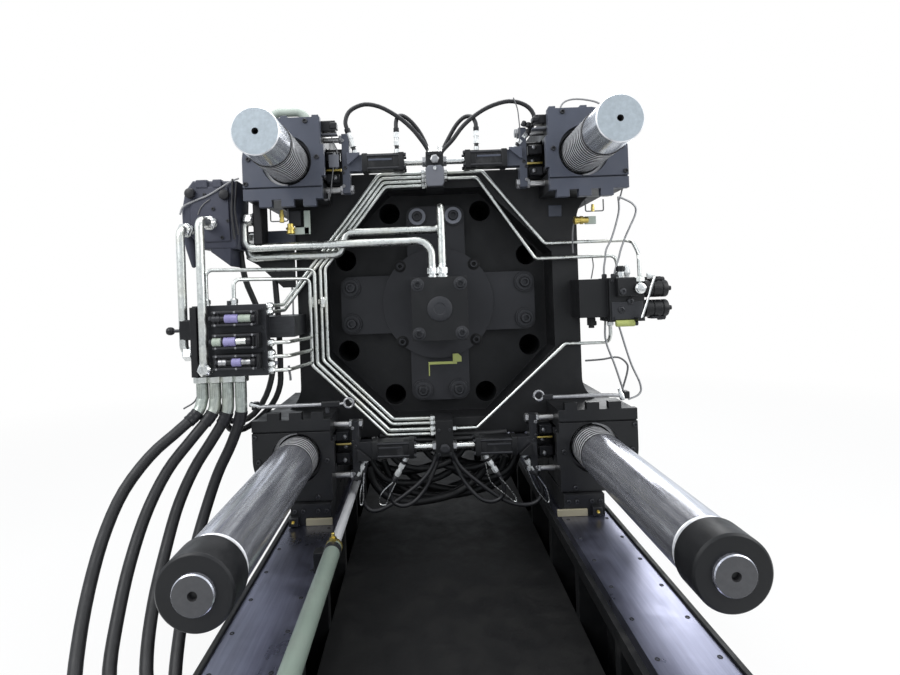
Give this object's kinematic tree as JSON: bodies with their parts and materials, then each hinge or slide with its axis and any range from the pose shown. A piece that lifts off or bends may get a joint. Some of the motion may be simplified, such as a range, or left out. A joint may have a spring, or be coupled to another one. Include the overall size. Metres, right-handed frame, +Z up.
{
  "type": "clamping unit of a two-platen injection molding machine",
  "caption": "Clamping unit of a two-platen injection molding machine: bed with guide rails, tie bars, sliding platen with split-nut locking units, and a fixed platen.",
  "frame": {"origin": "on the floor at the machine's centre line, under the moving platen's mould face as it stands at rest", "axes": "+X to the right seen from behind the moving platen, +Y along the tie bars towards the stationary platen, +Z up"},
  "size_m": [2.6091, 4.87, 2.7496],
  "materials": {
    "black_paint": "satin near-black machine paint, lightly scuffed",
    "blue_grey_paint": "satin blue-grey machine paint",
    "green_paint": "pale grey-green paint",
    "rail_steel": "ground guide way with a thin oil film",
    "bar_steel": "ground and hard-chromed, faint streaks along its length",
    "machined_steel": "milled, oily",
    "manifold_steel": "phosphated dark steel with machined faces",
    "zinc": "bright zinc plate",
    "rubber": "matte black hose cover",
    "valve_paint": "satin black with bright and violet bands",
    "black_plastic": "fine grain"
  },
  "bodies": {
    "bed": {"bed_frame": "black_paint", "rail_left": "rail_steel", "rail_right": "rail_steel", "bed_floor": "black_paint", "stationary_platen": "blue_grey_paint", "tie_bar_ul": "bar_steel", "tie_bar_ur": "bar_steel", "tie_bar_ll": "bar_steel", "tie_bar_lr": "bar_steel", "end_cap_ll": "black_paint", "end_cap_lr": "black_paint", "clamp_cylinder_ul": "blue_grey_paint", "clamp_cylinder_ur": "blue_grey_paint", "clamp_cylinder_ll": "blue_grey_paint", "clamp_cylinder_lr": "blue_grey_paint", "traverse_cylinder": "green_paint", "hose_bracket": "black_paint"},
    "platen": {"moving_platen": "black_paint", "shoe_left": "black_paint", "shoe_right": "black_paint", "lock_housing_ul": "blue_grey_paint", "lock_housing_ur": "blue_grey_paint", "lock_housing_ll": "black_paint", "lock_housing_lr": "black_paint", "sync_block_top": "black_paint", "sync_block_bottom": "black_paint", "ejector_plate": "black_paint", "ejector_block": "black_paint", "traverse_rod": "bar_steel", "manifold_left": "manifold_steel", "valve_top": "valve_paint", "valve_middle": "valve_paint", "valve_bottom": "valve_paint", "manifold_upper": "manifold_steel", "manifold_right": "black_paint", "solenoid_upper": "black_plastic", "solenoid_lower": "black_plastic", "pipes_upper_right": "zinc", "pipes_lower_right": "zinc", "pipes_left": "zinc", "pipes_ejector": "zinc", "pipes_side": "zinc", "conduit_left": "black_paint", "hose_1": "rubber", "hose_2": "rubber", "hose_3": "rubber", "hose_4": "rubber"},
    "lock_ul": {"lock_drive_ul": "black_paint"},
    "nut_ul": {"half_nut_ul": "machined_steel"},
    "lock_ur": {"lock_drive_ur": "black_paint"},
    "nut_ur": {"half_nut_ur": "machined_steel"},
    "lock_ll": {"lock_drive_ll": "black_paint"},
    "nut_ll": {"half_nut_ll": "machined_steel"},
    "lock_lr": {"lock_drive_lr": "black_paint"},
    "nut_lr": {"half_nut_lr": "machined_steel"}
  },
  "joints": [
    {"name": "platen_slide", "type": "slide", "parent": "bed", "child": "platen", "axis": [0, 1, 0], "range_m": [-0.8, 0.5], "deforming": ["hose_1", "hose_2", "hose_3", "hose_4"]},
    {"name": "lock_ul_open", "type": "slide", "parent": "platen", "child": "lock_ul", "axis": [1, 0, 0], "range_m": [0, 0.022]},
    {"name": "nut_ul_open", "type": "slide", "parent": "platen", "child": "nut_ul", "axis": [-1, 0, 0], "range_m": [0, 0.022]},
    {"name": "lock_ur_open", "type": "slide", "parent": "platen", "child": "lock_ur", "axis": [-1, 0, 0], "range_m": [0, 0.022]},
    {"name": "nut_ur_open", "type": "slide", "parent": "platen", "child": "nut_ur", "axis": [1, 0, 0], "range_m": [0, 0.022]},
    {"name": "lock_ll_open", "type": "slide", "parent": "platen", "child": "lock_ll", "axis": [1, 0, 0], "range_m": [0, 0.022]},
    {"name": "nut_ll_open", "type": "slide", "parent": "platen", "child": "nut_ll", "axis": [-1, 0, 0], "range_m": [0, 0.022]},
    {"name": "lock_lr_open", "type": "slide", "parent": "platen", "child": "lock_lr", "axis": [-1, 0, 0], "range_m": [0, 0.022]},
    {"name": "nut_lr_open", "type": "slide", "parent": "platen", "child": "nut_lr", "axis": [1, 0, 0], "range_m": [0, 0.022]}
  ],
  "couplings": [
    {"joint": "nut_ul_open", "follows": "lock_ul_open", "ratio": 1},
    {"joint": "nut_ur_open", "follows": "lock_ur_open", "ratio": 1},
    {"joint": "nut_ll_open", "follows": "lock_ll_open", "ratio": 1},
    {"joint": "nut_lr_open", "follows": "lock_lr_open", "ratio": 1}
  ]
}
